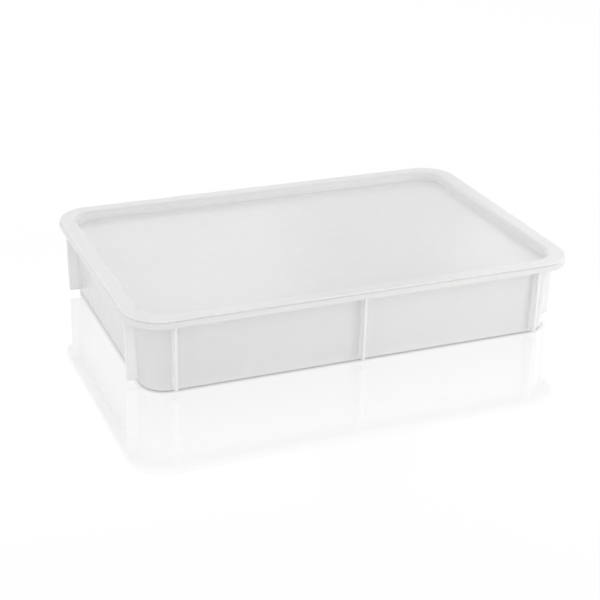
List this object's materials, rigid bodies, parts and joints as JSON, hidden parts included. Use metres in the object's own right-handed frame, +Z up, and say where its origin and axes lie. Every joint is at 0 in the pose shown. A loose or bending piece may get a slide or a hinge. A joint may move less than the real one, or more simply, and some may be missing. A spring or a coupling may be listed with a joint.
{
  "type": "dough proofing container",
  "caption": "Low rectangular stacking box with rounded corners, outside stacking fins and a recessed drop-in lid, for proofing and storing dough.",
  "frame": {"origin": "centre of the footprint, on the plane that the foot stands on", "axes": "+X along the long side, +Y along the short side, +Z up out of the open box"},
  "size_m": [0.6, 0.4, 0.1044],
  "materials": {
    "tub": "satin, slightly translucent white food plastic",
    "lid": "satin, slightly translucent white food plastic"
  },
  "bodies": {
    "tub": {"tub": "tub"},
    "lid": {"lid": "lid"}
  },
  "joints": [
    {"name": "lid_lift", "type": "slide", "parent": "tub", "child": "lid", "axis": [0, 0, 1], "range_m": [0, 0.15]}
  ]
}
